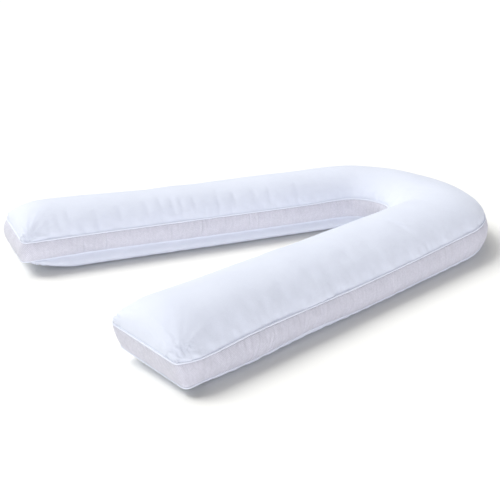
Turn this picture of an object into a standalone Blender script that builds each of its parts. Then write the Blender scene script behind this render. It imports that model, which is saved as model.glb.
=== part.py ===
"""A U-shaped body pillow: one filled form, a mesh band round its side and two piped seams.

Metres, +Z up. The arms run towards -X from a bend at +X and open a little from parallel. The
pillow is centred on the origin in plan and its flattened underside lies on Z = 0.
"""

import math
from collections import namedtuple

import bmesh
import bpy
from mathutils import Vector

# The U in plan, measured at the seams.
ARM_WIDTH = 0.264
ARM_LENGTH = 1.163
ARM_SPLAY = math.radians(10.8)
BEND_RADIUS = 0.225  # of the centreline
BEND_SQUASH = 0.10  # the share by which its bend is shallower than round
BEND_OUTER_EXTRA = 0.006  # the bend's outer edge stands this much further out
INNER_LEAD = 0.090  # the inner edge starts to bend this much before the outer one
INNER_LEAD_FADE = 3  # the power by which that lead dies out along the arms
CORNER_RADIUS = 0.016
CORNER_RUN = 0.120  # the rounding of an end's corners dies out over this length
REAR_FLARE = 0.022  # the rear arm widens by this on its outer side, towards its open end
REAR_FLARE_RUN = 0.450
REAR_SLANT = 0.013  # the outer corner of the rear arm's end reaches this much further

# How the filled panels swell.
CROWN_POWER = 0.55
END_RUN = 0.105  # the top panel rises to its full crown over this length from an open end
END_POWER = 0.33
ROLL_SHARE = 3 / 7  # how much of the underside's half width rolls up from the floor to the seam
END_ROLL_RUN = 0.160  # and over what length it rolls up to the seam of an open end
INNER_ROLL_WIDTH = 0.046
OUTER_ROLL_WIDTH = 0.054
INNER_ROLL_SWELL = 0.026
OUTER_ROLL_SWELL = 0.004

# How the seams lie at the open ends and along the sides.
LOWER_INNER_TUCK = 0.007  # the lower seam is set in from the upper one on the inner side
FRONT_END_TUCK = 0.015  # and at the front arm's open end
REAR_END_TUCK = -0.005
TUCK_RUN = 0.140
FRONT_PINCH = 0.012  # the upper seam is drawn in at the front arm's outer corner
FRONT_PINCH_RUN = 0.080

# The side band and the piping.
BAND_SWELL = 0.010
BAND_THICKNESS = 0.0017
BAND_MARGIN = 0.0028  # from a seam to the band's edge, where the piping lies
PIPING_RADIUS = 0.0025
SEAM_DEPTH = 0.0036  # the filled form's edges lie this far in from the piping's middle
GAP = 0.0003

# The grid that carries the form.
ARM_STEPS = 16
BEND_STEPS = 36
ACROSS_STEPS = 14
SIDE_STEPS = 4
ARM_GRADING = 1.8  # steps get shorter towards an open end

# Rows along the centreline, from the front arm's open end (share 0) to the rear arm's (share 1):
# heights of the upper and lower seams on the inner and outer sides, and of the crown above them.
Section = namedtuple("Section", "share upper_inner upper_outer lower_inner lower_outer crown")
SECTIONS = (
    Section(0.00, 0.105, 0.088, 0.040, 0.023, 0.086),
    Section(0.03, 0.106, 0.085, 0.041, 0.023, 0.086),
    Section(0.08, 0.107, 0.092, 0.042, 0.018, 0.084),
    Section(0.15, 0.107, 0.091, 0.042, 0.025, 0.082),
    Section(0.22, 0.107, 0.090, 0.042, 0.016, 0.080),
    Section(0.30, 0.107, 0.094, 0.042, 0.017, 0.079),
    Section(0.40, 0.108, 0.102, 0.042, 0.020, 0.077),
    Section(0.50, 0.109, 0.093, 0.043, 0.022, 0.069),
    Section(0.60, 0.112, 0.093, 0.044, 0.022, 0.082),
    Section(0.66, 0.109, 0.093, 0.043, 0.022, 0.085),
    Section(0.80, 0.109, 0.092, 0.044, 0.020, 0.082),
    Section(0.92, 0.109, 0.094, 0.048, 0.022, 0.083),
    Section(1.00, 0.107, 0.098, 0.043, 0.026, 0.086),
)

# Colour, roughness and metallic value of each cloth.
PANEL_CLOTH = ((0.87, 0.88, 0.92), 0.85, 0.0)
MESH_CLOTH = ((0.74, 0.74, 0.79), 0.95, 0.0)
PIPING_CLOTH = ((0.89, 0.90, 0.93), 0.80, 0.0)

BEND_ANGLE = math.pi - 2 * ARM_SPLAY
BEND_LENGTH = BEND_RADIUS * BEND_ANGLE
CENTRELINE = 2 * ARM_LENGTH + BEND_LENGTH
ALONG_STEPS = 2 * ARM_STEPS + BEND_STEPS
GRID = (ALONG_STEPS, ACROSS_STEPS, SIDE_STEPS)


def section_value(column, share):
    """A column of SECTIONS at this share of the centreline, read from a smooth curve."""
    last = len(SECTIONS) - 2
    i = next((n for n in range(last) if share < SECTIONS[n + 1].share), last)
    rows = [SECTIONS[min(max(n, 0), last + 1)] for n in (i - 1, i, i + 1, i + 2)]
    at = [row.share for row in rows]
    value = [getattr(row, column) for row in rows]
    span = at[2] - at[1]
    slope_in = (value[2] - value[0]) / (at[2] - at[0]) * span
    slope_out = (value[3] - value[1]) / (at[3] - at[1]) * span
    t = (share - at[1]) / span
    ease = t * t * (3 - 2 * t)
    bow = t * (1 - t) * ((1 - t) * slope_in - t * slope_out)
    return value[1] + (value[2] - value[1]) * ease + bow


def length_at(step):
    """Length along the centreline from the front arm's open end, at a step of the grid."""
    if step < ARM_STEPS:
        return ARM_LENGTH * (step / ARM_STEPS) ** ARM_GRADING
    if step > ARM_STEPS + BEND_STEPS:
        return CENTRELINE - ARM_LENGTH * ((ALONG_STEPS - step) / ARM_STEPS) ** ARM_GRADING
    return ARM_LENGTH + BEND_LENGTH * (step - ARM_STEPS) / BEND_STEPS


def length_to_end(step):
    """Length along the centreline from the nearer open end."""
    return min(length_at(step), CENTRELINE - length_at(step))


def bend_direction(length):
    """(outward, away, straight): plan directions at a length along the U, and how far past its
    bend that is."""
    past_middle = length - CENTRELINE / 2
    straight = max(abs(past_middle) - BEND_LENGTH / 2, 0.0)
    angle = math.copysign((abs(past_middle) - straight) / BEND_RADIUS, past_middle)
    outward = Vector((math.cos(angle), math.sin(angle), 0.0))
    away = Vector((-abs(math.sin(angle)), math.copysign(math.cos(angle), angle), 0.0))
    return outward, away, straight


def outer_edge(length):
    """Point of the outer edge in plan, level with a length along the centreline."""
    outward, away, straight = bend_direction(length)
    point = outward * BEND_RADIUS + away * straight
    point.x -= BEND_SQUASH * max(point.x, 0.0)
    in_bend = max(1 - abs(length - CENTRELINE / 2) / (BEND_LENGTH / 2), 0.0)
    return point + outward * (ARM_WIDTH / 2 + BEND_OUTER_EXTRA * math.sin(in_bend * math.pi / 2))


def inner_edge(length):
    """Point of the inner edge in plan: two straight runs, joined by a wider arc than a parallel
    edge would have."""
    outward, away, straight = bend_direction(length)
    radius = BEND_RADIUS - ARM_WIDTH / 2
    if straight > 0:
        lead = INNER_LEAD * max(1 - straight / ARM_LENGTH, 0.0) ** INNER_LEAD_FADE
        return outward * radius + away * (straight + lead)
    wide_radius = radius + INNER_LEAD / math.tan(BEND_ANGLE / 2)
    return outward * wide_radius - Vector((INNER_LEAD / math.sin(BEND_ANGLE / 2), 0.0, 0.0))


def faded(length, run):
    """1 at no length, falling smoothly to 0 over the run."""
    return max(1 - length / run, 0.0) ** 2


def corner_setback(half_width):
    """How far an open end is set back at this half width, to round its corners."""
    past = min(max((half_width - ARM_WIDTH / 2) / CORNER_RADIUS + 1, 0.0), 1.0)
    return CORNER_RADIUS * (1 - math.sqrt(1 - past * past))


def cut_line(along_step, v, up):
    """Where a cut across the pillow passes a place v across it: (point, outward, half width, share).

    v runs from -1 on the inner side to 1 on the outer, and up from 0 at the lower seam to 1 at the
    upper. The point is midway between the cut's two edges, at the height of a line between them
    at v. The share is that of the centreline.
    """
    from_front = length_at(along_step)
    from_rear = CENTRELINE - from_front
    outer_share = (1 + v) / 2
    rounding = faded(from_front, CORNER_RUN) - faded(from_rear, CORNER_RUN)
    length = from_front + corner_setback(abs(v) * ARM_WIDTH / 2) * rounding
    share = length / CENTRELINE
    length += REAR_SLANT * outer_share * faded(from_rear, CORNER_RUN)
    length += FRONT_END_TUCK * faded(from_front, TUCK_RUN) * (1 - up)
    length -= REAR_END_TUCK * faded(from_rear, TUCK_RUN) * (1 - up)
    inner, outer = inner_edge(length), outer_edge(length)
    outward = (outer - inner).normalized()
    inner += outward * LOWER_INNER_TUCK * (1 - up)
    outer += outward * REAR_FLARE * faded(from_rear, REAR_FLARE_RUN)
    outer -= outward * FRONT_PINCH * faded(from_front, FRONT_PINCH_RUN) * up
    lower, upper = (
        (1 - outer_share) * section_value(seam + "_inner", share)
        + outer_share * section_value(seam + "_outer", share)
        for seam in ("lower", "upper")
    )
    point = (inner + outer) / 2
    point.z = lower + (upper - lower) * up
    return point, outward, (outer - inner).length / 2, share


def across_value(across_step):
    """A place across the panels from -1 to 1, closer together towards the seams."""
    return math.sin((2 * across_step / ACROSS_STEPS - 1) * math.pi / 2)


def rim_steps():
    """The (along, across) steps round the edge of the grid, once round."""
    inner = [(i, 0) for i in range(ALONG_STEPS)]
    rear = [(ALONG_STEPS, j) for j in range(ACROSS_STEPS)]
    outer = [(i, ACROSS_STEPS) for i in range(ALONG_STEPS, 0, -1)]
    front = [(0, j) for j in range(ACROSS_STEPS, 0, -1)]
    return inner + rear + outer + front


def seam_point(n, up):
    """The nth point round the side, straight between its seams."""
    rim = rim_steps()
    along_step, across_step = rim[n % len(rim)]
    v = across_value(across_step)
    point, outward, half_width, _ = cut_line(along_step, v, up)
    return point + outward * v * half_width


def side_swell(up):
    """How far the side swells past its seams, in straight facets between the grid's rows."""
    row = min(int(up * SIDE_STEPS), SIDE_STEPS - 1)
    low, high = row / SIDE_STEPS, (row + 1) / SIDE_STEPS
    part = (up - low) * SIDE_STEPS
    return 4 * BAND_SWELL * ((1 - part) * low * (1 - low) + part * high * (1 - high))


def side_point(n, up, out):
    """The nth point round the side, swollen, and out from the seams by a true distance."""
    before, here, after = (seam_point(n + step, up) for step in (-1, 0, 1))
    way_in = (here - before).xy.normalized()
    way_out = (after - here).xy.normalized()
    way = (way_in + way_out).normalized()
    mitre = (out + side_swell(up)) / way.dot(way_out)
    return here + Vector((-way.y, way.x, 0.0)) * mitre


def top_point(along_step, across_step):
    """A point on the top panel, inside its rim."""
    v = across_value(across_step)
    point, outward, half_width, share = cut_line(along_step, v, 1.0)
    rise = (1 - v * v) ** CROWN_POWER
    end_rise = (1 - faded(length_to_end(along_step), END_RUN)) ** END_POWER
    point.z += section_value("crown", share) * rise * end_rise
    return point + outward * v * (half_width - SEAM_DEPTH)


def bottom_point(along_step, across_step):
    """A point on the bottom panel, which lies on the floor and rolls up to its rim."""
    y = 2 * across_step / ACROSS_STEPS - 1
    v = across_value(across_step)
    point, outward, half_width, _ = cut_line(along_step, v, 0.0)
    edge = half_width - SEAM_DEPTH
    if y < 0:
        roll_width, swell = INNER_ROLL_WIDTH, INNER_ROLL_SWELL
    else:
        roll_width, swell = OUTER_ROLL_WIDTH, OUTER_ROLL_SWELL
    turn = min((1 - abs(y)) / ROLL_SHARE, 1.0) * math.pi / 2
    on_floor = min(abs(y) / (1 - ROLL_SHARE), 1.0)
    rolled = (edge - roll_width) * on_floor + roll_width * math.cos(turn) + swell * math.sin(2 * turn)
    full = math.sin(min(length_to_end(along_step) / END_ROLL_RUN, 1.0) * math.pi / 2)
    across = rolled * full + abs(v) * edge * (1 - full)
    point.z *= 1 - full * math.sin(turn)
    return point + outward * math.copysign(across, y)


def grid_box():
    """A closed box of quads, its corners at -1 and 1 and its faces cut into the grid's steps."""
    mesh = bmesh.new()
    bmesh.ops.create_cube(mesh, size=2.0)
    for axis, count in enumerate(GRID):
        edges = [e for e in mesh.edges if abs(e.verts[0].co[axis] - e.verts[1].co[axis]) > 1]
        bmesh.ops.subdivide_edges(mesh, edges=edges, cuts=count - 1, use_grid_fill=True)
    return mesh


def grid_steps(vertex):
    """The (along, across, up) steps at which a vertex of the box stands."""
    return tuple(round((vertex.co[axis] + 1) / 2 * count) for axis, count in enumerate(GRID))


def finished(mesh, name, cloth):
    """The mesh as a smooth-shaded object of its own cloth."""
    bmesh.ops.recalc_face_normals(mesh, faces=mesh.faces)
    data = bpy.data.meshes.new(name)
    mesh.to_mesh(data)
    mesh.free()
    data.shade_smooth()
    data.set_sharp_from_angle(angle=math.radians(50))
    data.materials.append(cloth_material(name, cloth))
    return bpy.data.objects.new(name, data)


def cloth_material(name, cloth):
    """A plain cloth with its own colour, roughness and metallic value."""
    colour, roughness, metallic = cloth
    material = bpy.data.materials.new(name)
    material.use_nodes = True
    shader = material.node_tree.nodes["Principled BSDF"]
    shader.inputs["Base Color"].default_value = (*colour, 1.0)
    shader.inputs["Roughness"].default_value = roughness
    shader.inputs["Metallic"].default_value = metallic
    return material


def pillow_body():
    """The filled form: top panel, side and bottom panel, with its edges at the two seams."""
    mesh = grid_box()
    rim = {steps: n for n, steps in enumerate(rim_steps())}
    for vertex in mesh.verts:
        along_step, across_step, row = grid_steps(vertex)
        if (along_step, across_step) in rim:
            n = rim[along_step, across_step]
            vertex.co = side_point(n, row / SIDE_STEPS, -SEAM_DEPTH)
        elif row:
            vertex.co = top_point(along_step, across_step)
        else:
            vertex.co = bottom_point(along_step, across_step)
    return finished(mesh, "pillow_body", PANEL_CLOTH)


def mesh_side_band():
    """A closed ring of mesh cloth on the side, between the two lines of piping."""
    mesh = grid_box()
    panels = [f for f in mesh.faces if len({grid_steps(v)[2] for v in f.verts}) == 1]
    bmesh.ops.delete(mesh, geom=panels, context="FACES")
    second_ring = bmesh.ops.extrude_face_region(mesh, geom=mesh.faces[:])["geom"]
    outer_face = {v for v in second_ring if isinstance(v, bmesh.types.BMVert)}
    rim = {steps: n for n, steps in enumerate(rim_steps())}
    for vertex in mesh.verts:
        along_step, across_step, row = grid_steps(vertex)
        n = rim[along_step, across_step]
        trim = BAND_MARGIN / (seam_point(n, 1.0).z - seam_point(n, 0.0).z)
        up = min(max(row / SIDE_STEPS, trim), 1 - trim)
        out = GAP - SEAM_DEPTH + (BAND_THICKNESS if vertex in outer_face else 0.0)
        vertex.co = side_point(n, up, out)
    return finished(mesh, "mesh_side_band", MESH_CLOTH)


def piping(name, up):
    """A cord sewn along one seam, all round the pillow."""
    points = [side_point(n, up, 0.0) for n in range(len(rim_steps()))]
    data = bpy.data.curves.new(name, "CURVE")
    data.dimensions = "3D"
    spline = data.splines.new("POLY")
    spline.points.add(len(points) - 1)
    for at, point in zip(spline.points, points):
        at.co = (*point, 1.0)
    spline.use_cyclic_u = True
    data.bevel_depth = PIPING_RADIUS
    data.bevel_resolution = 2
    data.materials.append(cloth_material(name, PIPING_CLOTH))
    return bpy.data.objects.new(name, data)


def stand_on_origin(parts):
    """Parents the parts to an empty that puts the middle of their plan over the origin."""
    bpy.context.view_layer.update()
    graph = bpy.context.evaluated_depsgraph_get()
    corners = [Vector(c) for part in parts for c in part.evaluated_get(graph).bound_box]
    frame = bpy.data.objects.new("body_pillow_frame", None)
    frame.location.x = -(min(c.x for c in corners) + max(c.x for c in corners)) / 2
    frame.location.y = -(min(c.y for c in corners) + max(c.y for c in corners)) / 2
    for part in parts:
        part.parent = frame
    return frame


def main():
    for old in list(bpy.data.objects):
        bpy.data.objects.remove(old)
    collection = bpy.data.collections.new("body_pillow")
    bpy.context.scene.collection.children.link(collection)
    parts = [
        pillow_body(),
        mesh_side_band(),
        piping("upper_seam_piping", 1.0),
        piping("lower_seam_piping", 0.0),
    ]
    for part in parts:
        collection.objects.link(part)
    collection.objects.link(stand_on_origin(parts))


main()
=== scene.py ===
"""The looks of a U-shaped body pillow: a filled cover, a mesh side band and two piped seams.

Metres, +Z up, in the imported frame. The arms run towards -X from the bend at +X. The cover is
blown up and wrinkled by a short cloth simulation, and the band and the piping follow its seams.
"""

import math
from collections import namedtuple

import bmesh
import bpy
import numpy as np
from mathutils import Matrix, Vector, kdtree, noise


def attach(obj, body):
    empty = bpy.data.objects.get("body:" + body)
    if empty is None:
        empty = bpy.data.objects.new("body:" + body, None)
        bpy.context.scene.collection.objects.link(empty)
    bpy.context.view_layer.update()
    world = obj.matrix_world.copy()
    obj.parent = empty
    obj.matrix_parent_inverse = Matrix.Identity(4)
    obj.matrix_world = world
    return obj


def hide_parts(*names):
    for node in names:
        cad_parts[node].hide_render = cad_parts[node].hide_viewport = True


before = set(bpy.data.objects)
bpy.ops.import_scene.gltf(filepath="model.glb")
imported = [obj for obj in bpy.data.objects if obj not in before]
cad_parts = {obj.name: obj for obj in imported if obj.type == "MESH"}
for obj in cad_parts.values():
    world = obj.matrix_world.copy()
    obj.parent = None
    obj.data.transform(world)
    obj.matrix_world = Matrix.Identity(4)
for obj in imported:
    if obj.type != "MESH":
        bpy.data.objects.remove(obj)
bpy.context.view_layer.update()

# The camera, looking down on the pillow from beside its front arm, beyond the open ends.
CAMERA_AZIMUTH = math.radians(-33.2)  # from a look straight along +Y
CAMERA_ELEVATION = math.radians(21.6)
CAMERA_DISTANCE = 2.777
CAMERA_TARGET = Vector((-0.044, 0.109, 0.0))
CAMERA_LENS = 61.2
CAMERA_SENSOR = 36.0

# The U in plan, measured at the seams, with the middle of its bend's arc at BEND_MIDDLE.
BEND_MIDDLE = Vector((0.393, -0.014, 0.0))
ARM_WIDTH = 0.264
ARM_LENGTH = 1.163
ARM_SPLAY = math.radians(10.8)
BEND_RADIUS = 0.225
BEND_SQUASH = 0.10
BEND_OUTER_EXTRA = 0.006
INNER_LEAD = 0.090
INNER_LEAD_FADE = 3
CORNER_RADIUS = 0.016
CORNER_RUN = 0.120
REAR_FLARE = 0.022
REAR_FLARE_RUN = 0.450
REAR_SLANT = 0.013

# How the filled panels swell.
CROWN_POWER = 0.55
END_RUN = 0.105
END_POWER = 0.33
ROLL_SHARE = 3 / 7
END_ROLL_RUN = 0.160
INNER_ROLL_WIDTH = 0.046
OUTER_ROLL_WIDTH = 0.054
INNER_ROLL_SWELL = 0.026
OUTER_ROLL_SWELL = 0.004

# How the seams lie at the open ends and along the sides.
LOWER_INNER_TUCK = 0.007
FRONT_END_TUCK = 0.015
REAR_END_TUCK = -0.005
TUCK_RUN = 0.140
FRONT_PINCH = 0.012
FRONT_PINCH_RUN = 0.080

# The side band and the piping.
BAND_SWELL = 0.010
FRONT_FLATNESS = 0.9  # the share of that swell which is missing at the front arm's open end
FRONT_FLAT_RUN = 0.250
BAND_THICKNESS = 0.0011
BAND_MARGIN = 0.0028  # how far the band's edges stay from the cover's, clear of the piping
PIPING_RADIUS = 0.0025
SEAM_DEPTH = 0.0028  # how far the cover's edges lie inside the U measured at the seams
PIPING_DROP = 0.0007  # how far each line of piping lies off its seam, towards the band
PIPING_OUT = 0.0014  # how far its middle stands out of the cover, which hides the rest of it
GAP = 0.0003  # between the band and the cover

# The grid that carries the cover: steps of about 10 mm, halved once the cloth has settled.
ARM_STEPS = 112
BEND_STEPS = 72
ACROSS_STEPS = 30
SIDE_STEPS = 6
STEP_NAMES = ("along_step", "across_step", "up_step")
END_EASE = 0.05  # how soon the short steps at an open end give way to even ones

# The cloth of the cover. Its length to spare goes into wrinkles between the seams.
PANEL_SPAN = 0.33  # across a panel, over its crown
BAND_SPAN = 0.075
START_NOISE = 0.0012
START_NOISE_SIZE = 0.045
START_SEED = 1  # without it, noise_vector draws anew in each run
FLOOR_TOUCH = 0.0005  # what is lower than this lies on the floor
CLOTH_FRAMES = 20
CLOTH_QUALITY = 6
CLOTH_MASS = 0.3
CLOTH_STRETCH = 25.0
CLOTH_SHEAR = 10.0
CLOTH_BENDING = 2.0
CLOTH_PRESSURE = 4.0
CLOTH_TO_SPARE = 0.035
WRINKLE_ROUNDS = 40
WRINKLE_CAP = 0.005
WRINKLE_REACH = 0.030  # how far from a seam the wrinkles keep their height
WRINKLES_ON_TOP = 0.10  # what is left of them further out
WRINKLES_BENEATH = 0.08

# Gathers along the seams and round the corners, and the unevenness of the filling.
PUCKER_HEIGHT = 0.0022
PUCKER_SIZE = 0.016
PUCKER_RUN = 0.014
PUCKER_SPREAD = 0.22
CORNER_GATHER = 0.0065
CORNER_GATHER_RUN = 0.026
CORNER_GATHER_REACH = 6  # how many runs out from a corner they are worked out
CORNER_GATHER_REPEATS = 5.0  # how often their pattern comes round a corner
CORNER_GATHER_FINENESS = 2.0  # how fine the ridges in the pattern are
CORNER_UNLIKENESS = 10.0  # how far apart the patterns of two corners are
FILLING_HEIGHT = 0.0035
FILLING_SIZE = 0.13
DIMPLE_HEIGHT = 0.0012  # of the soft dimples down both flanks of the top panel
DIMPLE_SIZE = 0.024

# Hollows in the top panel: where they lie along the centreline and across (-1 to 1), how far they
# run and how wide and deep they are. Most are where the filling gives way beside a seam: broad
# ones on the front arm, and short upright gathers in a row on the rear arm.
Hollow = namedtuple("Hollow", "length across run width depth")
HOLLOWS = (
    Hollow(0.125, 0.83, 0.020, 0.022, 0.0020),
    Hollow(0.184, 0.79, 0.022, 0.022, 0.0020),
    Hollow(0.243, 0.68, 0.024, 0.020, 0.0028),
    Hollow(0.291, 0.80, 0.020, 0.022, 0.0024),
    Hollow(0.362, 0.76, 0.024, 0.024, 0.0028),
    Hollow(0.418, 0.80, 0.018, 0.020, 0.0020),
    Hollow(0.484, 0.66, 0.026, 0.020, 0.0028),
    Hollow(0.549, 0.66, 0.024, 0.024, 0.0020),
    Hollow(0.610, 0.60, 0.026, 0.022, 0.0028),
    Hollow(0.650, 0.54, 0.018, 0.020, 0.0024),
    Hollow(0.740, 0.56, 0.030, 0.022, 0.0020),
    Hollow(0.770, 0.24, 0.050, 0.050, 0.0020),
    Hollow(0.922, 0.45, 0.014, 0.035, 0.0032),
    Hollow(1.990, -0.90, 0.014, 0.024, 0.0016),
    Hollow(2.101, -0.80, 0.012, 0.026, 0.0020),
    Hollow(2.157, -0.76, 0.014, 0.026, 0.0020),
    Hollow(2.240, -0.76, 0.010, 0.026, 0.0023),
    Hollow(2.301, -0.80, 0.010, 0.026, 0.0023),
    Hollow(2.385, -0.80, 0.012, 0.026, 0.0023),
    Hollow(2.432, -0.78, 0.010, 0.024, 0.0023),
    Hollow(2.462, -0.72, 0.009, 0.026, 0.0023),
    Hollow(2.502, -0.64, 0.010, 0.030, 0.0020),
    Hollow(2.549, -0.72, 0.012, 0.026, 0.0023),
    Hollow(2.636, -0.76, 0.012, 0.026, 0.0023),
    Hollow(2.713, -0.80, 0.012, 0.022, 0.0016),
    Hollow(2.799, -0.68, 0.012, 0.024, 0.0020),
    Hollow(2.834, -0.80, 0.012, 0.024, 0.0020),
    Hollow(2.860, -0.84, 0.014, 0.022, 0.0023),
)

# The band's own surface: a fine crinkle all over, and the folds that show. A fold lies on the inner
# (-1) or outer (1) side at a length along the centreline, leans as it rises, and is strongest at
# one height, from 0 at the lower seam to 1 at the upper.
BAND_CRINKLE = 0.0005
BAND_CRINKLE_SIZE = 0.009
BAND_CRINKLE_RISE = 0.050
FOLD_DEPTH = 0.0026
FOLD_PITCH = 0.014
FOLD_RUN = 0.009
FOLD_RISE = 0.40
Fold = namedtuple("Fold", "length side lean height")
FOLDS = (
    Fold(0.227, 1, 0.020, 0.20),
    Fold(0.277, 1, 0.022, 0.20),
    Fold(0.402, 1, 0.024, 0.25),
    Fold(0.445, 1, 0.026, 0.25),
    Fold(0.564, 1, 0.030, 0.25),
    Fold(0.873, 1, 0.020, 0.20),
    Fold(1.123, 1, 0.020, 0.20),
    Fold(2.163, -1, 0.004, 0.55),
    Fold(2.200, -1, -0.003, 0.50),
    Fold(2.290, -1, 0.004, 0.40),
    Fold(2.377, -1, -0.004, 0.50),
    Fold(2.485, -1, 0.003, 0.50),
    Fold(2.701, -1, -0.003, 0.50),
    Fold(2.770, -1, 0.003, 0.30),
)

# The piping: a cord in cloth cut on the bias.
PIPING_UNEVENNESS = 0.12
PIPING_RESOLUTION = 4

# The cloths: linear colours, low and high in each cloth's mottling, and the sizes of what is in
# them. Heights and sizes are in metres.
PANEL_TINTS = (0.705, 0.745, 0.845), (0.775, 0.815, 0.905)
MESH_TINTS = (0.595, 0.600, 0.670), (0.755, 0.752, 0.830)
# The colour seen through the mesh's holes: painted shade, the filling behind them darker than its
# own colour.
MESH_HOLE_PAINTED_SHADE = (0.565, 0.565, 0.640)
# The piping's tints are the panels' cloth made a little lighter: a painted highlight on the raised
# cord.
PIPING_HIGHLIGHT_TINTS = (0.750, 0.785, 0.880), (0.810, 0.845, 0.930)
PANEL_THREAD = 0.0011
PANEL_THREAD_HEIGHT = 0.00003
FUZZ_SIZE = 0.0030
FUZZ_HEIGHT = 0.00008
CREASE_SIZE = 0.034
CREASE_HEIGHT = 0.0007
MOTTLE_SIZE = 0.110
SEAM_PULL_PITCH = 0.0065
SEAM_PULL_RUN = 0.012
SEAM_PULL_HEIGHT = 0.00035
MESH_HOLE_PITCH = 0.0044
MESH_ROW_PITCH = 0.0034
MESH_HOLE_RADIUS = 0.0011
MESH_HOLE_DEPTH = 0.0004
MESH_HOLE_EDGE = 0.3  # how soft the holes' edges are, as a share of their radius
MESH_WANDER = 0.0007
MESH_SPECK_SIZE = 0.0055
MESH_RIB_PITCH = 0.0085
MESH_RIB_HEIGHT = 0.0005
PIPING_THREAD = 0.0010
PIPING_THREAD_HEIGHT = 0.00003
PIPING_PUCKER_SIZE = 0.006
PIPING_PUCKER_HEIGHT = 0.0004

# How fast the drawn-out patterns change along their own length, against across it, and what each
# pattern counts for in its cloth's mottling.
SLUB_ALONG = 0.15
RIB_ALONG = 0.2
PIPING_PUCKER_ALONG = 0.4
FINE_DETAIL = 3.0
PANEL_MOTTLE, PANEL_FUZZ, PANEL_SLUB, PANEL_WEAVE = 0.7, 0.25, 0.25, 0.1
MESH_MOTTLE, MESH_SPECKS, MESH_RIBS = 0.5, 1.4, 0.9
PIPING_MOTTLE, PIPING_FUZZ, PIPING_PUCKERS = 0.4, 0.4, 0.4

# How the surfaces take the light. A cloth's roughness spreads a little with its fuzz.
PANEL_ROUGHNESS, PANEL_ROUGHNESS_SPREAD = 0.85, 0.06
MESH_ROUGHNESS, MESH_ROUGHNESS_SPREAD = 0.9, 0.05
PIPING_ROUGHNESS, PIPING_ROUGHNESS_SPREAD = 0.85, 0.05
FLOOR_ROUGHNESS = 0.9
PANEL_SHEEN = 0.12
MESH_SHEEN = 0.1
PIPING_SHEEN = 0.1
SHEEN_ROUGHNESS = 0.5
CLOTH_SPECULAR = 0.2

# The Mix node's colour sockets, whose names it shares with its other kinds.
MIX_FACTOR, MIX_FIRST, MIX_SECOND, MIX_RESULT = 0, 6, 7, 2

FLOOR_REACH = 40.0
FLOOR_COLOUR = (0.95, 0.947, 0.915)

# Soft lamps at an azimuth from +X and an elevation, in degrees, with their strengths. Each lights
# the pillow alone or the floor alone, which keeps the shadow beside the pillow deep and to one side
# of it. One shines up through the floor, as light does that a white table throws back.
LAMP_ANGLE = math.radians(35)
WORLD_STRENGTH = 0.32
BACKDROP_STRENGTH = 1.0
PLAIN_LIGHT = (1.0, 1.0, 1.0)
COOL_LIGHT = (0.92, 0.90, 1.0)
Lamp = namedtuple("Lamp", "name lights azimuth elevation strength colour")
LAMPS = (
    Lamp("back_key", "pillow", 90, 42, 1.32, PLAIN_LIGHT),
    Lamp("high_key", "pillow", 135, 62, 1.50, PLAIN_LIGHT),
    Lamp("front_fill", "pillow", 270, 20, 0.66, COOL_LIGHT),
    Lamp("left_fill", "pillow", 225, 20, 0.26, COOL_LIGHT),
    Lamp("end_fill", "pillow", 190, 5, 0.72, PLAIN_LIGHT),
    Lamp("table_bounce", "pillow", 270, -25, 0.56, COOL_LIGHT),
    Lamp("floor_key", "floor", 135, 50, 2.45, PLAIN_LIGHT),
    Lamp("floor_high", "floor", 90, 66, 0.75, PLAIN_LIGHT),
)

# Rows along the centreline, from the front arm's open end (share 0) to the rear arm's (share 1):
# heights of the upper and lower seams on the inner and outer sides, and of the crown above them.
Section = namedtuple("Section", "share upper_inner upper_outer lower_inner lower_outer crown")
SECTIONS = (
    Section(0.00, 0.105, 0.088, 0.040, 0.023, 0.086),
    Section(0.03, 0.106, 0.085, 0.041, 0.023, 0.086),
    Section(0.08, 0.107, 0.092, 0.042, 0.018, 0.084),
    Section(0.15, 0.107, 0.091, 0.042, 0.025, 0.082),
    Section(0.22, 0.107, 0.090, 0.042, 0.016, 0.080),
    Section(0.30, 0.107, 0.094, 0.042, 0.017, 0.079),
    Section(0.40, 0.108, 0.102, 0.042, 0.020, 0.077),
    Section(0.50, 0.109, 0.093, 0.043, 0.022, 0.069),
    Section(0.60, 0.112, 0.093, 0.044, 0.022, 0.082),
    Section(0.66, 0.109, 0.093, 0.043, 0.022, 0.085),
    Section(0.80, 0.109, 0.092, 0.044, 0.020, 0.082),
    Section(0.92, 0.109, 0.094, 0.048, 0.022, 0.083),
    Section(1.00, 0.107, 0.098, 0.043, 0.026, 0.086),
)

BEND_ANGLE = math.pi - 2 * ARM_SPLAY
BEND_LENGTH = BEND_RADIUS * BEND_ANGLE
CENTRELINE = 2 * ARM_LENGTH + BEND_LENGTH
ALONG_STEPS = 2 * ARM_STEPS + BEND_STEPS
GRID = (ALONG_STEPS, ACROSS_STEPS, SIDE_STEPS)


# ---------------------------------------------------------------- the form of the pillow


def section_value(column, share):
    """A column of SECTIONS at this share of the centreline, read from a smooth curve."""
    last = len(SECTIONS) - 2
    i = next((n for n in range(last) if share < SECTIONS[n + 1].share), last)
    rows = [SECTIONS[min(max(n, 0), last + 1)] for n in (i - 1, i, i + 1, i + 2)]
    at = [row.share for row in rows]
    value = [getattr(row, column) for row in rows]
    span = at[2] - at[1]
    slope_in = (value[2] - value[0]) / (at[2] - at[0]) * span
    slope_out = (value[3] - value[1]) / (at[3] - at[1]) * span
    t = (share - at[1]) / span
    ease = t * t * (3 - 2 * t)
    bow = t * (1 - t) * ((1 - t) * slope_in - t * slope_out)
    return value[1] + (value[2] - value[1]) * ease + bow


def arm_length_at(step):
    """Length from an open end after this many steps: short steps first, then even ones."""
    def eased(t):
        return math.hypot(t, END_EASE) - END_EASE

    return ARM_LENGTH * eased(step / ARM_STEPS) / eased(1.0)


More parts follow.
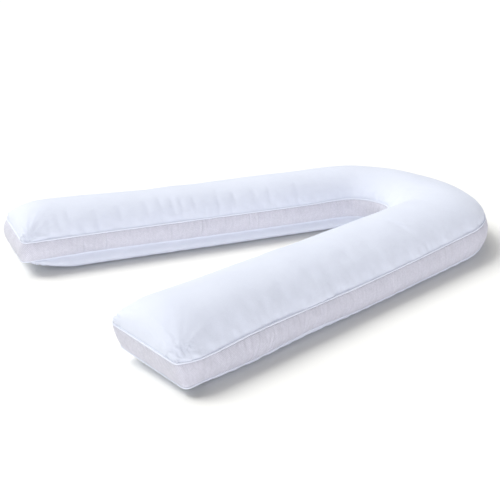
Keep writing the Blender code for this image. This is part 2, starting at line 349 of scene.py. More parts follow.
def length_at(step):
    """Length along the centreline from the front arm's open end, at a step of the grid."""
    if step < ARM_STEPS:
        return arm_length_at(step)
    if step > ARM_STEPS + BEND_STEPS:
        return CENTRELINE - arm_length_at(ALONG_STEPS - step)
    return ARM_LENGTH + BEND_LENGTH * (step - ARM_STEPS) / BEND_STEPS


def length_to_end(step):
    """Length along the centreline from the nearer open end."""
    return min(length_at(step), CENTRELINE - length_at(step))


def bend_direction(length):
    """(outward, away, straight): plan directions at a length along the U, and how far past its
    bend that is."""
    past_middle = length - CENTRELINE / 2
    straight = max(abs(past_middle) - BEND_LENGTH / 2, 0.0)
    angle = math.copysign((abs(past_middle) - straight) / BEND_RADIUS, past_middle)
    outward = Vector((math.cos(angle), math.sin(angle), 0.0))
    away = Vector((-abs(math.sin(angle)), math.copysign(math.cos(angle), angle), 0.0))
    return outward, away, straight


def outer_edge(length):
    """Point of the outer edge in plan, level with a length along the centreline."""
    outward, away, straight = bend_direction(length)
    point = outward * BEND_RADIUS + away * straight
    point.x -= BEND_SQUASH * max(point.x, 0.0)
    in_bend = max(1 - abs(length - CENTRELINE / 2) / (BEND_LENGTH / 2), 0.0)
    swell = BEND_OUTER_EXTRA * math.sin(in_bend * math.pi / 2)
    return BEND_MIDDLE + point + outward * (ARM_WIDTH / 2 + swell)


def inner_edge(length):
    """Point of the inner edge in plan: two straight runs joined by a wide arc."""
    outward, away, straight = bend_direction(length)
    radius = BEND_RADIUS - ARM_WIDTH / 2
    if straight > 0:
        lead = INNER_LEAD * max(1 - straight / ARM_LENGTH, 0.0) ** INNER_LEAD_FADE
        return BEND_MIDDLE + outward * radius + away * (straight + lead)
    wide_radius = radius + INNER_LEAD / math.tan(BEND_ANGLE / 2)
    middle = BEND_MIDDLE - Vector((INNER_LEAD / math.sin(BEND_ANGLE / 2), 0.0, 0.0))
    return middle + outward * wide_radius


def faded(length, run):
    """1 at no length, falling smoothly to 0 over the run."""
    return max(1 - length / run, 0.0) ** 2


def corner_setback(half_width):
    """How far an open end is set back at this half width, to round its corners."""
    past = min(max((half_width - ARM_WIDTH / 2) / CORNER_RADIUS + 1, 0.0), 1.0)
    return CORNER_RADIUS * (1 - math.sqrt(1 - past * past))


def cut_line(along_step, v, up):
    """Where a cut across the pillow passes a place v: (point, outward, half width, share).

    v runs from -1 on the inner side to 1 on the outer, and up from 0 at the lower seam to 1 at the
    upper. The point is midway between the cut's two edges, at the height of a line between them
    at v. The share is that of the centreline.
    """
    from_front = length_at(along_step)
    from_rear = CENTRELINE - from_front
    outer_share = (1 + v) / 2
    rounding = faded(from_front, CORNER_RUN) - faded(from_rear, CORNER_RUN)
    length = from_front + corner_setback(abs(v) * ARM_WIDTH / 2) * rounding
    share = length / CENTRELINE
    length += REAR_SLANT * outer_share * faded(from_rear, CORNER_RUN)
    length += FRONT_END_TUCK * faded(from_front, TUCK_RUN) * (1 - up)
    length -= REAR_END_TUCK * faded(from_rear, TUCK_RUN) * (1 - up)
    inner, outer = inner_edge(length), outer_edge(length)
    outward = (outer - inner).normalized()
    inner += outward * LOWER_INNER_TUCK * (1 - up)
    outer += outward * REAR_FLARE * faded(from_rear, REAR_FLARE_RUN)
    outer -= outward * FRONT_PINCH * faded(from_front, FRONT_PINCH_RUN) * up
    lower, upper = (
        (1 - outer_share) * section_value(seam + "_inner", share)
        + outer_share * section_value(seam + "_outer", share)
        for seam in ("lower", "upper")
    )
    point = (inner + outer) / 2
    point.z = lower + (upper - lower) * up
    return point, outward, (outer - inner).length / 2, share


def across_value(across_step):
    """A place across the panels from -1 to 1, closer together towards the seams."""
    return math.sin((2 * across_step / ACROSS_STEPS - 1) * math.pi / 2)


def rim_steps(grid):
    """The (along, across) steps round the edge of a grid, once round."""
    along_steps, across_steps, _ = grid
    inner = [(i, 0) for i in range(along_steps)]
    rear = [(along_steps, j) for j in range(across_steps)]
    outer = [(i, across_steps) for i in range(along_steps, 0, -1)]
    front = [(0, j) for j in range(across_steps, 0, -1)]
    return inner + rear + outer + front


RIM = rim_steps(GRID)
RIM_PLACE = {steps: n for n, steps in enumerate(RIM)}
FINE_RIM = rim_steps([2 * count for count in GRID])
FINE_RIM_PLACE = {steps: n for n, steps in enumerate(FINE_RIM)}


def seam_point(n, up):
    """The nth point round the side, straight between its seams."""
    along_step, across_step = RIM[n % len(RIM)]
    v = across_value(across_step)
    point, outward, half_width, _ = cut_line(along_step, v, up)
    return point + outward * v * half_width


def side_point(n, up, out):
    """The nth point round the side, swollen, and out from the seams by a true distance."""
    before, here, after = (seam_point(n + step, up) for step in (-1, 0, 1))
    way_in = (here - before).xy.normalized()
    way_out = (after - here).xy.normalized()
    way = (way_in + way_out).normalized()
    from_front = length_at(RIM[n % len(RIM)][0])
    swell = BAND_SWELL * (1 - FRONT_FLATNESS * faded(from_front, FRONT_FLAT_RUN))
    mitre = (out + 4 * swell * up * (1 - up)) / way.dot(way_out)
    return here + Vector((-way.y, way.x, 0.0)) * mitre


def top_point(along_step, across_step):
    """A point on the top panel, inside its rim."""
    v = across_value(across_step)
    point, outward, half_width, share = cut_line(along_step, v, 1.0)
    rise = (1 - v * v) ** CROWN_POWER
    end_rise = (1 - faded(length_to_end(along_step), END_RUN)) ** END_POWER
    point.z += section_value("crown", share) * rise * end_rise
    return point + outward * v * (half_width - SEAM_DEPTH)


def bottom_point(along_step, across_step):
    """A point on the bottom panel, which lies on the floor and rolls up to its rim."""
    y = 2 * across_step / ACROSS_STEPS - 1
    v = across_value(across_step)
    point, outward, half_width, _ = cut_line(along_step, v, 0.0)
    edge = half_width - SEAM_DEPTH
    if y < 0:
        roll_width, swell = INNER_ROLL_WIDTH, INNER_ROLL_SWELL
    else:
        roll_width, swell = OUTER_ROLL_WIDTH, OUTER_ROLL_SWELL
    turn = min((1 - abs(y)) / ROLL_SHARE, 1.0) * math.pi / 2
    on_floor = min(abs(y) / (1 - ROLL_SHARE), 1.0)
    rolled = (edge - roll_width) * on_floor + roll_width * math.cos(turn)
    rolled += swell * math.sin(2 * turn)
    full = math.sin(min(length_to_end(along_step) / END_ROLL_RUN, 1.0) * math.pi / 2)
    across = rolled * full + abs(v) * edge * (1 - full)
    point.z *= 1 - full * math.sin(turn)
    return point + outward * math.copysign(across, y)


# ---------------------------------------------------------------- new objects


def placed(name, data):
    """A new object of this data, in the scene."""
    made = bpy.data.objects.new(name, data)
    bpy.context.scene.collection.objects.link(made)
    return made


def placed_mesh(name, mesh):
    """A new object of this bmesh, in the scene."""
    data = bpy.data.meshes.new(name)
    mesh.to_mesh(data)
    mesh.free()
    return placed(name, data)


def worked_out(piece):
    """A new mesh of an object as its modifiers or its bevel leave it."""
    graph = bpy.context.evaluated_depsgraph_get()
    return bpy.data.meshes.new_from_object(piece.evaluated_get(graph))


# ---------------------------------------------------------------- the filled cover


def grid_box():
    """A closed box of quads, its corners at -1 and 1 and its faces cut into the grid's steps."""
    mesh = bmesh.new()
    bmesh.ops.create_cube(mesh, size=2.0)
    for axis, count in enumerate(GRID):
        edges = [e for e in mesh.edges if abs(e.verts[0].co[axis] - e.verts[1].co[axis]) > 1]
        bmesh.ops.subdivide_edges(mesh, edges=edges, cuts=count - 1, use_grid_fill=True)
    return mesh


def grid_steps(vertex):
    """The (along, across, up) steps at which a vertex of the box stands."""
    return tuple(round((vertex.co[axis] + 1) / 2 * count) for axis, count in enumerate(GRID))


def form_point(steps):
    """Where the cover's form has this vertex of the grid."""
    along_step, across_step, row = steps
    if (along_step, across_step) in RIM_PLACE:
        return side_point(RIM_PLACE[along_step, across_step], row / SIDE_STEPS, -SEAM_DEPTH)
    if row:
        return top_point(along_step, across_step)
    return bottom_point(along_step, across_step)


def lay_out_cloth(mesh, layer, steps, rim_length):
    """A UV map in metres of cloth: along and across on the panels, round and up on the side."""
    for face in mesh.faces:
        places = [steps[loop.vert] for loop in face.loops]
        rows = {row for _, _, row in places}
        if len(rows) == 1:
            side = 1 if rows == {SIDE_STEPS} else -1
            flat = [
                (length_at(i), side * (PANEL_SPAN * (j / ACROSS_STEPS - 0.5) + PANEL_SPAN))
                for i, j, _ in places
            ]
        else:
            round_by = [RIM_PLACE[i, j] for i, j, _ in places]
            if max(round_by) - min(round_by) > 1:
                round_by = [n or len(RIM) for n in round_by]
            flat = [
                (rim_length[n], BAND_SPAN * row / SIDE_STEPS)
                for n, (_, _, row) in zip(round_by, places)
            ]
        for loop, uv in zip(face.loops, flat):
            loop[layer].uv = uv


def cover_form():
    """The filled cover before its cloth settles, with its grid steps kept on each point."""
    mesh = grid_box()
    for name in STEP_NAMES:
        mesh.verts.layers.float.new(name)
    crease = mesh.edges.layers.float.new("crease_edge")
    cloth_map = mesh.loops.layers.uv.new("cloth")
    layers = [mesh.verts.layers.float[name] for name in STEP_NAMES]
    steps = {vertex: grid_steps(vertex) for vertex in mesh.verts}
    seam = [seam_point(n, 1.0) for n in range(len(RIM) + 1)]
    rim_length = [0.0]
    for before, after in zip(seam, seam[1:]):
        rim_length.append(rim_length[-1] + (after - before).length)
    lay_out_cloth(mesh, cloth_map, steps, rim_length)
    for vertex, place in steps.items():
        vertex.co = form_point(place)
        for layer, step in zip(layers, place):
            vertex[layer] = step
    for edge in mesh.edges:
        ends = [steps[vertex] for vertex in edge.verts]
        on_rim = all((i, j) in RIM_PLACE for i, j, _ in ends)
        if on_rim and ends[0][2] == ends[1][2] and ends[0][2] in (0, SIDE_STEPS):
            edge[crease] = 1.0
    bmesh.ops.recalc_face_normals(mesh, faces=mesh.faces)
    return placed_mesh("filled_cover", mesh)


def read_points(data):
    """A mesh's points as an array of rows."""
    points = np.zeros(len(data.vertices) * 3)
    data.vertices.foreach_get("co", points)
    return points.reshape(-1, 3)


def read_steps(data, fineness):
    """The grid steps of a mesh's points, as whole numbers on a grid this many times finer."""
    columns = []
    for name in STEP_NAMES:
        column = np.zeros(len(data.vertices))
        data.attributes[name].data.foreach_get("value", column)
        columns.append(np.rint(column * fineness).astype(int))
    return np.stack(columns, axis=1)


def write_points(data, points):
    """Gives a mesh these points."""
    data.vertices.foreach_set("co", points.ravel())
    data.update()


def evened(data, values, rounds):
    """Values on a mesh's points, each averaged with its neighbours' this many times over."""
    ends = np.zeros(len(data.edges) * 2, dtype=int)
    data.edges.foreach_get("vertices", ends)
    first, second = ends.reshape(-1, 2).T
    degree = np.bincount(ends, minlength=len(values))[:, None]
    for _ in range(rounds):
        total = np.zeros_like(values)
        np.add.at(total, first, values[second])
        np.add.at(total, second, values[first])
        values = (values + total / degree) / 2
    return values


def loosened(points):
    """The points moved a little at random, so that the cloth doesn't buckle evenly."""
    noise.seed_set(START_SEED)
    shift = [noise.noise_vector(Vector(p) / START_NOISE_SIZE) for p in points]
    return points + START_NOISE * np.array(shift)


def at_rim(steps, fineness):
    """Which of these grid steps lie round the edge of a grid this many times finer."""
    at_end = np.isin(steps[:, 0], (0, ALONG_STEPS * fineness))
    return at_end | np.isin(steps[:, 1], (0, ACROSS_STEPS * fineness))


def seam_feet(points, steps, fineness):
    """For the lower and upper seams: the seam's point nearest to each of the points that can see
    it, and how far that is. Points of the other panel are endlessly far."""
    on_rim = at_rim(steps, fineness)
    found = []
    for row in (0, SIDE_STEPS * fineness):
        on_seam = np.flatnonzero(on_rim & (steps[:, 2] == row))
        seam = kdtree.KDTree(len(on_seam))
        for n in on_seam:
            seam.insert(points[n], int(n))
        seam.balance()
        feet = points.copy()
        distance = np.full(len(points), math.inf)
        for n in np.flatnonzero(on_rim | (steps[:, 2] == row)):
            feet[n], _, distance[n] = seam.find(points[n])
        found.append((feet, distance))
    return found


def settle_cloth(cover):
    """Blows the cover up with cloth to spare, and keeps the wrinkles but not the swelling."""
    data = cover.data
    form = read_points(data)
    steps = read_steps(data, 1)
    on_seam = at_rim(steps, 1) & np.isin(steps[:, 2], (0, SIDE_STEPS))
    on_floor = form[:, 2] < FLOOR_TOUCH
    held = on_seam | on_floor
    start = loosened(form)
    start[held] = form[held]
    write_points(data, start)
    group = cover.vertex_groups.new(name="held")
    group.add(np.flatnonzero(held).tolist(), 1.0, "REPLACE")
    cloth = cover.modifiers.new("cloth", "CLOTH")
    settings = cloth.settings
    settings.quality = CLOTH_QUALITY
    settings.mass = CLOTH_MASS
    settings.tension_stiffness = CLOTH_STRETCH
    settings.compression_stiffness = CLOTH_STRETCH
    settings.shear_stiffness = CLOTH_SHEAR
    settings.bending_stiffness = CLOTH_BENDING
    settings.use_pressure = True
    settings.uniform_pressure_force = CLOTH_PRESSURE
    settings.shrink_min = -CLOTH_TO_SPARE
    settings.effector_weights.gravity = 0.0
    settings.vertex_group_mass = group.name
    cloth.collision_settings.use_collision = False
    scene = bpy.context.scene
    for step in range(1, CLOTH_FRAMES + 1):
        scene.frame_set(step)
    settled = read_points(cover.evaluated_get(bpy.context.evaluated_depsgraph_get()).data)
    cover.modifiers.remove(cloth)
    cover.vertex_groups.remove(group)
    scene.frame_set(1)
    moved = settled - form
    moved[held] = 0.0
    wrinkles = moved - evened(data, moved, WRINKLE_ROUNDS)
    wrinkles[held] = 0.0
    size = np.linalg.norm(wrinkles, axis=1)
    distance = np.minimum(*(distance for _, distance in seam_feet(form, steps, 1)))
    kept = np.where(steps[:, 2] == 0, WRINKLES_BENEATH, WRINKLES_ON_TOP)
    kept += (1 - kept) * np.exp(-(distance / WRINKLE_REACH) ** 2)
    settled = form + wrinkles * (kept * WRINKLE_CAP / (WRINKLE_CAP + size))[:, None]
    settled[:, 2] = np.maximum(settled[:, 2], 0.0)
    write_points(data, settled)


def halve_steps(cover):
    """One subdivision, with the seams kept sharp."""
    finer = cover.modifiers.new("finer", "SUBSURF")
    finer.levels = finer.render_levels = 1
    data = worked_out(cover)
    cover.modifiers.remove(finer)
    coarse = cover.data
    cover.data = data
    bpy.data.meshes.remove(coarse)
    data.name = "filled_cover"


# ---------------------------------------------------------------- seam puckers and hollows


def pucker(foot, distance):
    """Height of the gathers that run away from a seam, above the point of it nearest to them."""
    strength = 0.5 + 0.5 * noise.noise(foot / PUCKER_SPREAD)
    ridges = noise.noise(foot / PUCKER_SIZE) + 0.5 * noise.noise(foot / (PUCKER_SIZE / 2))
    reach = distance / PUCKER_RUN
    return PUCKER_HEIGHT * strength * ridges * (reach * math.exp(1 - reach)) ** 2


def corner_gather(point, corner):
    """Height of the ridges that fan out from a corner of a seam."""
    offset = point - corner
    turn = math.atan2(offset.y, offset.x) * CORNER_GATHER_REPEATS
    ring = Vector((math.cos(turn), math.sin(turn), 0.0)) * CORNER_GATHER_FINENESS
    ridges = noise.noise(ring + corner * CORNER_UNLIKENESS)
    reach = offset.length / CORNER_GATHER_RUN
    return CORNER_GATHER * ridges * reach * math.exp(1 - reach)


def hollow_depths(steps):
    """Depth of the hollows in the top panel at each of these steps of the finer grid."""
    lengths = np.array([length_at(n / 2) for n in range(2 * ALONG_STEPS + 1)])[steps[:, 0]]
    places = np.array([across_value(n / 2) for n in range(2 * ACROSS_STEPS + 1)])[steps[:, 1]]
    depths = np.zeros(len(steps))
    for hollow in HOLLOWS:
        along = (lengths - hollow.length) / hollow.run
        across = (places - hollow.across) * ARM_WIDTH / 2 / hollow.width
        depths += hollow.depth * np.exp(-along * along - across * across)
    return depths


def add_fine_forms(cover):
    """Puckers along both seams and round their corners, uneven filling, and the top panel's hollows
    and dimples. Each point's distance from the nearer seam is kept for the panel's material."""
    data = cover.data
    points = read_points(data)
    normals = np.zeros(len(points) * 3)
    data.vertices.foreach_get("normal", normals)
    steps = read_steps(data, 2)
    on_rim = at_rim(steps, 2)
    height = np.zeros(len(points))
    seams = seam_feet(points, steps, 2)
    for feet, distance in seams:
        for n in np.flatnonzero(distance < math.inf):
            height[n] += pucker(Vector(feet[n]), distance[n])
    ends = (0, 2 * ALONG_STEPS), (0, 2 * ACROSS_STEPS)
    at_corner = np.isin(steps[:, 0], ends[0]) & np.isin(steps[:, 1], ends[1])
    at_seam = on_rim & np.isin(steps[:, 2], (0, 2 * SIDE_STEPS))
    for corner in np.flatnonzero(at_corner & at_seam):
        far = np.linalg.norm(points - points[corner], axis=1)
        on_panel = (steps[:, 2] == steps[corner, 2]) & ~on_rim
        for n in np.flatnonzero(on_panel & (far < CORNER_GATHER_REACH * CORNER_GATHER_RUN)):
            height[n] += corner_gather(Vector(points[n]), Vector(points[corner]))
    on_top = (steps[:, 2] > 0) & ~on_rim
    height -= np.where(on_top, hollow_depths(steps), 0.0)
    for n in np.flatnonzero(on_top):
        height[n] += FILLING_HEIGHT * noise.noise(Vector(points[n]) / FILLING_SIZE)
        flank = across_value(steps[n, 1] / 2) ** 2
        height[n] += DIMPLE_HEIGHT * flank * noise.noise(Vector(points[n]) / DIMPLE_SIZE)
    height[at_seam | (points[:, 2] < FLOOR_TOUCH)] = 0.0
    points += normals.reshape(-1, 3) * height[:, None]
    points[:, 2] = np.maximum(points[:, 2], 0.0)
    write_points(data, points)
    near = np.minimum(*(distance for _, distance in seams))
    data.attributes.new("from_seam", "FLOAT", "POINT").data.foreach_set("value", near)


# ---------------------------------------------------------------- the band and the piping


def seam_lines(cover):
    """For each row of the side, its points in order round the pillow."""
    points = read_points(cover.data)
    rows = np.zeros((2 * SIDE_STEPS + 1, len(FINE_RIM), 3))
    for point, (i, j, row) in zip(points, read_steps(cover.data, 2).tolist()):
        n = FINE_RIM_PLACE.get((i, j))
        if n is not None:
            rows[row, n] = point
    return rows


def outward_of(line):
    """The level direction out of the pillow at each point of a line round it."""
    way = np.roll(line, -1, axis=0) - np.roll(line, 1, axis=0)
    out = np.stack([-way[:, 1], way[:, 0], np.zeros(len(way))], axis=1)
    return out / np.linalg.norm(out, axis=1, keepdims=True)


def fold_height(length, side, up):
    """How far the band's folds stand out at a place on one side, at a height between its seams."""
    height = 0.0
    for fold in FOLDS:
        if fold.side != side:
            continue
        past = length - fold.length - fold.lean * (up - fold.height)
        fade = math.exp(-((past / FOLD_RUN) ** 2) - ((up - fold.height) / FOLD_RISE) ** 2)
        height += FOLD_DEPTH * math.cos(past * 2 * math.pi / FOLD_PITCH) * fade
    return height


def crinkle_band(mesh, place):
    """Crinkles the band between its seams. place gives each point's steps of the finer grid."""
    mesh.normal_update()
    moves = {}
    for vertex in mesh.verts:
        i, j, row = place(vertex)
        up = row / (2 * SIDE_STEPS)
        x, y, z = vertex.co
        spot = Vector((x, y, z * BAND_CRINKLE_SIZE / BAND_CRINKLE_RISE))
        height = BAND_CRINKLE * (1 + noise.noise(spot / BAND_CRINKLE_SIZE))
        side = (j > ACROSS_STEPS) - (j < ACROSS_STEPS)
        if 0 < i < 2 * ALONG_STEPS:
            height += max(FOLD_DEPTH / 2 + fold_height(length_at(i / 2), side, up), 0.0)
        else:
            height += FOLD_DEPTH / 2
        moves[vertex] = vertex.normal * height * math.sin(math.pi * up) ** 0.5
    for vertex, move in moves.items():
        vertex.co += move


def side_band(cover, rows):
    """The ring of mesh cloth on the side, from one line of piping to the other."""
    mesh = bmesh.new()
    mesh.from_mesh(cover.data)
    layers = [mesh.verts.layers.float[name] for name in STEP_NAMES]
    place = {v: tuple(round(2 * v[layer]) for layer in layers) for v in mesh.verts}
    off_side = [f for f in mesh.faces if any(place[v][:2] not in FINE_RIM_PLACE for v in f.verts)]
    bmesh.ops.delete(mesh, geom=off_side, context="FACES")
    out = [outward_of(row) for row in rows]
    last = len(rows) - 1
    for vertex in mesh.verts:
        i, j, row = place[vertex]
        n = FINE_RIM_PLACE[i, j]
        next_row = row + (row == 0) - (row == last)
        inward = rows[next_row, n] - rows[row, n]
        length = np.linalg.norm(inward)
        here = rows[row, n] + (inward * BAND_MARGIN / length if length else 0.0)
        vertex.co = here + out[row][n] * GAP
    level = [e for e in mesh.edges if place[e.verts[0]][2] == place[e.verts[1]][2]]
    bmesh.ops.subdivide_edges(mesh, edges=level, cuts=1, use_grid_fill=True)
    crinkle_band(mesh, lambda vertex: [2 * vertex[layer] for layer in layers])
    band = placed_mesh("mesh_band", mesh)
    wall = band.modifiers.new("wall", "SOLIDIFY")
    wall.thickness = BAND_THICKNESS
    wall.offset = 1.0
    return band


def once_round(counts, total):
    """Counts round a loop at one face's corners, with a 0 made the total on the closing face."""
    closing = max(counts) - min(counts) > 1
    return [n or total for n in counts] if closing else counts


def lay_out_piping(data, run):
    """A UV map in metres on a tube: along it, from the run at each of its rings, and round it."""
    cloth_map = data.uv_layers.new(name="cloth").data
    sides = len(data.vertices) // (len(run) - 1)
    side_length = 2 * math.pi * PIPING_RADIUS / sides
    for face in data.polygons:
        corners = [data.loops[n].vertex_index for n in face.loop_indices]
        rings = once_round([n // sides for n in corners], len(run) - 1)
        turns = once_round([n % sides for n in corners], sides)
        for loop, ring, turn in zip(face.loop_indices, rings, turns):
            cloth_map[loop].uv = (run[ring], turn * side_length)


def piping(name, line, drop):
    """A covered cord sewn along one seam, dropped by this much and a little uneven in width."""
    data = bpy.data.curves.new(name, "CURVE")
    data.dimensions = "3D"
    data.bevel_depth = PIPING_RADIUS
    data.bevel_resolution = PIPING_RESOLUTION
    spline = data.splines.new("POLY")
    spline.points.add(len(line) - 1)
    middle = line + outward_of(line) * PIPING_OUT - np.array([0.0, 0.0, drop])
    for at, point in zip(spline.points, middle):
        at.co = (*point, 1.0)
        at.radius = 1 + PIPING_UNEVENNESS * noise.noise(Vector(point) / PUCKER_SIZE)
    spline.use_cyclic_u = True
    guide = placed(name, data)
    tube = worked_out(guide)
    bpy.data.objects.remove(guide)
    steps = np.linalg.norm(np.roll(middle, -1, axis=0) - middle, axis=1)
    lay_out_piping(tube, [0.0, *np.cumsum(steps)])
    return placed(name, tube)


# ---------------------------------------------------------------- the cloths


class Shade:
    """A shader socket. Arithmetic on it adds Math nodes, and node() adds any other node."""

    def __init__(self, tree, socket=None):
        self.tree = tree
        self.socket = socket

    def node(self, kind, settings=None, sockets=None, output=0):
        """Adds a node of this type: its settings first, then its sockets' values or links."""
        made = self.tree.nodes.new("ShaderNode" + kind)
        for name, value in (settings or {}).items():
            setattr(made, name, value)
        for name, value in (sockets or {}).items():
            if isinstance(value, Shade):
                self.tree.links.new(value.socket, made.inputs[name])
            else:
                made.inputs[name].default_value = value
        return Shade(self.tree, made.outputs[output])

    def maths(self, operation, *values):
        """A Math node on these values."""
        return self.node("Math", {"operation": operation}, dict(enumerate(values)))

    def __add__(self, other):
        return self.maths("ADD", self, other)

    def __sub__(self, other):
        return self.maths("SUBTRACT", self, other)

    def __rsub__(self, other):
        return self.maths("SUBTRACT", other, self)

    def __mul__(self, other):
        return self.maths("MULTIPLY", self, other)

    def __truediv__(self, other):
        return self.maths("DIVIDE", self, other)

    def __pow__(self, other):
        return self.maths("POWER", self, other)

    __radd__ = __add__
    __rmul__ = __mul__

    def wave(self, pitch):
        """A sine from -1 to 1 that repeats at this pitch."""
        return self.maths("SINE", self * (2 * math.pi / pitch))

    def ramp(self, low, high):
        """0 up to low and 1 from high, smooth between them. It falls where high is the lower."""
        rising = {"Value": self, "From Min": min(low, high), "From Max": max(low, high)}
        ends = {"To Min": float(low > high), "To Max": float(high > low)}
        return self.node("MapRange", {"interpolation_type": "SMOOTHSTEP"}, {**rising, **ends})

    def noise(self, size, detail=2.0):
        """Noise from -1 to 1 with features of this size, read at this vector."""
        sockets = {"Vector": self, "Scale": 1 / size, "Detail": detail}
        return self.node("TexNoise", {}, sockets) * 2 - 1

    def stretched(self, x, y, z):
        """This vector with each of its parts scaled."""
        return self.node("VectorMath", {"operation": "MULTIPLY"}, {0: self, 1: (x, y, z)})

    def blend(self, first, second):
        """The first colour where this mask is 0 and the second where it is 1."""
        sockets = {MIX_FACTOR: self, MIX_FIRST: first, MIX_SECOND: second}
        return self.node("Mix", {"data_type": "RGBA"}, sockets, MIX_RESULT)


def start_cloth(name):
    """(material, its Shade, its place in the pillow, its cloth's place, along, across)."""
    material = bpy.data.materials.new(name)
    material.use_nodes = True
    shade = Shade(material.node_tree)
    place = shade.node("TexCoord", output="Object")
    cloth = shade.node("UVMap", {"uv_map": "cloth"})
    along = shade.node("SeparateXYZ", {}, {0: cloth}, "X")
    across = shade.node("SeparateXYZ", {}, {0: cloth}, "Y")
    return material, shade, place, cloth, along, across


def finish_cloth(material, shade, colour, roughness, height, sheen):
    """Feeds a cloth's colour, roughness and height in metres to its surface."""
    surface = material.node_tree.nodes["Principled BSDF"]
    surface.inputs["Sheen Weight"].default_value = sheen
    surface.inputs["Sheen Roughness"].default_value = SHEEN_ROUGHNESS
    surface.inputs["Specular IOR Level"].default_value = CLOTH_SPECULAR
    bump = shade.node("Bump", {}, {"Height": height, "Distance": 1.0})
    for name, value in (("Base Color", colour), ("Roughness", roughness), ("Normal", bump)):
        material.node_tree.links.new(value.socket, surface.inputs[name])
    return material


def colour_of(tints, mottle):
    """A mottled colour: the first tint where the mottle is -1 and the second where it is 1."""
    low, high = ((*tint, 1.0) for tint in tints)
    return (mottle * 0.5 + 0.5).blend(low, high)


def panel_cloth():
    """Smooth white woven cloth, a little fuzzy, pulled into small gathers by its seams."""
    material, shade, place, cloth, along, across = start_cloth("woven_panel")
    weave = along.wave(PANEL_THREAD) * across.wave(PANEL_THREAD)
    fuzz = place.noise(FUZZ_SIZE, FINE_DETAIL)
    slub = cloth.stretched(SLUB_ALONG, 1.0, 1.0).noise(FUZZ_SIZE)
    creases = place.noise(CREASE_SIZE, FINE_DETAIL)
    from_seam = shade.node("Attribute", {"attribute_name": "from_seam"}, output="Fac")
    pull = (along + across).wave(SEAM_PULL_PITCH) * from_seam.ramp(SEAM_PULL_RUN, 0.0)
    mottle = (
        place.noise(MOTTLE_SIZE) * PANEL_MOTTLE
        + fuzz * PANEL_FUZZ
        + slub * PANEL_SLUB
        + weave * PANEL_WEAVE
    )
    colour = colour_of(PANEL_TINTS, mottle)
    roughness = PANEL_ROUGHNESS + fuzz * PANEL_ROUGHNESS_SPREAD
    height = weave * PANEL_THREAD_HEIGHT + (fuzz + slub) * FUZZ_HEIGHT
    height += creases * CREASE_HEIGHT + pull * SEAM_PULL_HEIGHT
    return finish_cloth(material, shade, colour, roughness, height, PANEL_SHEEN)


def mesh_cloth():
    """Knitted mesh: holes in staggered rows, in threads a little darker than the panels, with
    painted shade in the holes.
    """
    material, shade, place, cloth, along, across = start_cloth("knitted_mesh")
    column = (along + place.noise(MESH_RIB_PITCH) * MESH_WANDER) / MESH_HOLE_PITCH
    row = across / MESH_ROW_PITCH
    odd_row = shade.maths("MODULO", shade.maths("FLOOR", row), 2.0)
    past = shade.maths("FRACT", column + odd_row * 0.5) - 0.5
    up = shade.maths("FRACT", row) - 0.5
    from_hole = (past * MESH_HOLE_PITCH) ** 2.0 + (up * MESH_ROW_PITCH) ** 2.0
    from_hole = shade.maths("SQRT", from_hole)
    hole_outside = (1 + MESH_HOLE_EDGE) * MESH_HOLE_RADIUS
    hole_inside = (1 - MESH_HOLE_EDGE) * MESH_HOLE_RADIUS
    hole = from_hole.ramp(hole_outside, hole_inside)
    fuzz = place.noise(FUZZ_SIZE, FINE_DETAIL)
    ribs = cloth.stretched(1.0, RIB_ALONG, 1.0).noise(MESH_RIB_PITCH)
    specks = place.noise(MESH_SPECK_SIZE)
    mottle = place.noise(MOTTLE_SIZE) * MESH_MOTTLE + specks * MESH_SPECKS + ribs * MESH_RIBS
    # The holes take a darker colour: painted shade where the filling lies behind them.
    colour = hole.blend(colour_of(MESH_TINTS, mottle), (*MESH_HOLE_PAINTED_SHADE, 1.0))
    roughness = MESH_ROUGHNESS + fuzz * MESH_ROUGHNESS_SPREAD
    height = ribs * MESH_RIB_HEIGHT + fuzz * FUZZ_HEIGHT - hole * MESH_HOLE_DEPTH
    return finish_cloth(material, shade, colour, roughness, height, MESH_SHEEN)


def piping_cloth():
    """The panels' cloth cut on the bias and drawn round a cord, made a little lighter as a painted
    highlight.
    """
    material, shade, place, cloth, along, across = start_cloth("bias_strip")
    weave = (along + across).wave(PIPING_THREAD) * (along - across).wave(PIPING_THREAD)
    fuzz = place.noise(FUZZ_SIZE, FINE_DETAIL)
    puckers = cloth.stretched(1.0, PIPING_PUCKER_ALONG, 1.0).noise(PIPING_PUCKER_SIZE)
    mottle = (
        place.noise(MOTTLE_SIZE) * PIPING_MOTTLE
        + fuzz * PIPING_FUZZ
        + puckers * PIPING_PUCKERS
    )
    # The lighter tints are a painted highlight on the cord; its weave and puckers are the cloth's
    # own.
    colour = colour_of(PIPING_HIGHLIGHT_TINTS, mottle)
    roughness = PIPING_ROUGHNESS + fuzz * PIPING_ROUGHNESS_SPREAD
    height = weave * PIPING_THREAD_HEIGHT + puckers * PIPING_PUCKER_HEIGHT
    return finish_cloth(material, shade, colour, roughness, height, PIPING_SHEEN)


# ---------------------------------------------------------------- the studio


def plain_material(name, colour, roughness):
    """A material of one colour and roughness."""
    material = bpy.data.materials.new(name)
    material.use_nodes = True
    surface = material.node_tree.nodes["Principled BSDF"]
    surface.inputs["Base Color"].default_value = (*colour, 1.0)
    surface.inputs["Roughness"].default_value = roughness
    return material


def make_floor():
    """A pale floor, far wider than the picture."""
    mesh = bmesh.new()
    bmesh.ops.create_grid(mesh, x_segments=1, y_segments=1, size=FLOOR_REACH)
    floor = placed_mesh("floor", mesh)
    floor.data.materials.append(plain_material("floor", FLOOR_COLOUR, FLOOR_ROUGHNESS))
    return floor


def way_to(azimuth, elevation):
    """The direction towards an azimuth from +X and an elevation."""
    level = math.cos(elevation)
    return Vector((level * math.cos(azimuth), level * math.sin(azimuth), math.sin(elevation)))


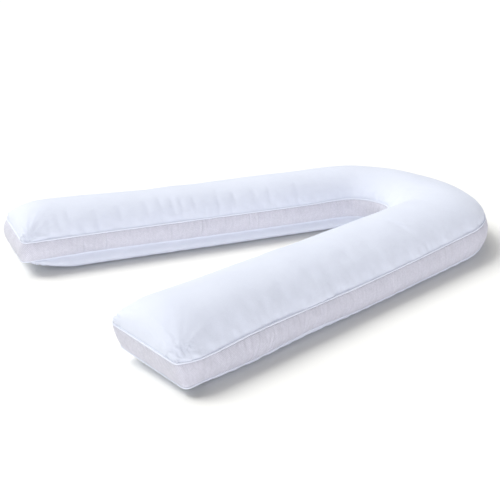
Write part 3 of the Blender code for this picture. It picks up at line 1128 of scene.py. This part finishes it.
def make_camera():
    """The camera, at its distance from its target."""
    back = way_to(CAMERA_AZIMUTH - math.pi / 2, CAMERA_ELEVATION)
    data = bpy.data.cameras.new("camera")
    data.lens = CAMERA_LENS
    data.sensor_width = CAMERA_SENSOR
    camera = placed("camera", data)
    camera.location = CAMERA_TARGET + back * CAMERA_DISTANCE
    camera.rotation_euler = (-back).to_track_quat("-Z", "Y").to_euler()
    bpy.context.scene.camera = camera


def make_world():
    """Faint light from all round, in front of a white backdrop."""
    bpy.context.scene.view_settings.view_transform = "Standard"
    world = bpy.data.worlds.new("studio")
    world.use_nodes = True
    shade = Shade(world.node_tree)
    seen = shade.node("LightPath", output="Is Camera Ray")
    strength = seen * (BACKDROP_STRENGTH - WORLD_STRENGTH) + WORLD_STRENGTH
    sky = world.node_tree.nodes["Background"]
    sky.inputs["Color"].default_value = (*PLAIN_LIGHT, 1.0)
    world.node_tree.links.new(strength.socket, sky.inputs["Strength"])
    bpy.context.scene.world = world


def make_lamps(pillow, floor):
    """The lamps, each lighting the pillow's pieces or the floor."""
    lit = {}
    for name, pieces in (("pillow", pillow), ("floor", [floor])):
        lit[name] = bpy.data.collections.new("lit_" + name)
        for piece in pieces:
            lit[name].objects.link(piece)
    for lamp in LAMPS:
        data = bpy.data.lights.new(lamp.name, "SUN")
        data.energy = lamp.strength
        data.color = lamp.colour
        data.angle = LAMP_ANGLE
        from_lamp = -way_to(math.radians(lamp.azimuth), math.radians(lamp.elevation))
        light = placed(lamp.name, data)
        light.rotation_euler = from_lamp.to_track_quat("-Z", "Y").to_euler()
        light.light_linking.receiver_collection = lit[lamp.lights]
        if lamp.elevation < 0:
            light.light_linking.blocker_collection = lit["pillow"]


# ---------------------------------------------------------------- the whole pillow


def make_pillow():
    """The pillow's four pieces, each given its cloth and attached to the root body, with the
    imported node that it stands for hidden.
    """
    cover = cover_form()
    settle_cloth(cover)
    halve_steps(cover)
    add_fine_forms(cover)
    rows = seam_lines(cover)
    band = side_band(cover, rows)
    upper_piping = piping("upper_piping", rows[-1], PIPING_DROP)
    lower_piping = piping("lower_piping", rows[0], -PIPING_DROP)
    panel, mesh, bias = panel_cloth(), mesh_cloth(), piping_cloth()
    for piece, node, slot, material in (
        (cover, "pillow_body", "panel_cloth", panel),
        (band, "mesh_side_band", "mesh_cloth", mesh),
        (upper_piping, "upper_seam_piping", "piping_cloth", bias),
        (lower_piping, "lower_seam_piping", "piping_cloth", bias),
    ):
        piece.data.shade_smooth()
        piece.data.materials.clear()
        piece.data.materials.append(material)
        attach(piece, "root")
        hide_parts(node)
    round_seam = np.linalg.norm(np.roll(rows[-1], -1, axis=0) - rows[-1], axis=1).sum()
    return cover, band, upper_piping, lower_piping


make_camera()
make_world()
make_lamps(make_pillow(), make_floor())
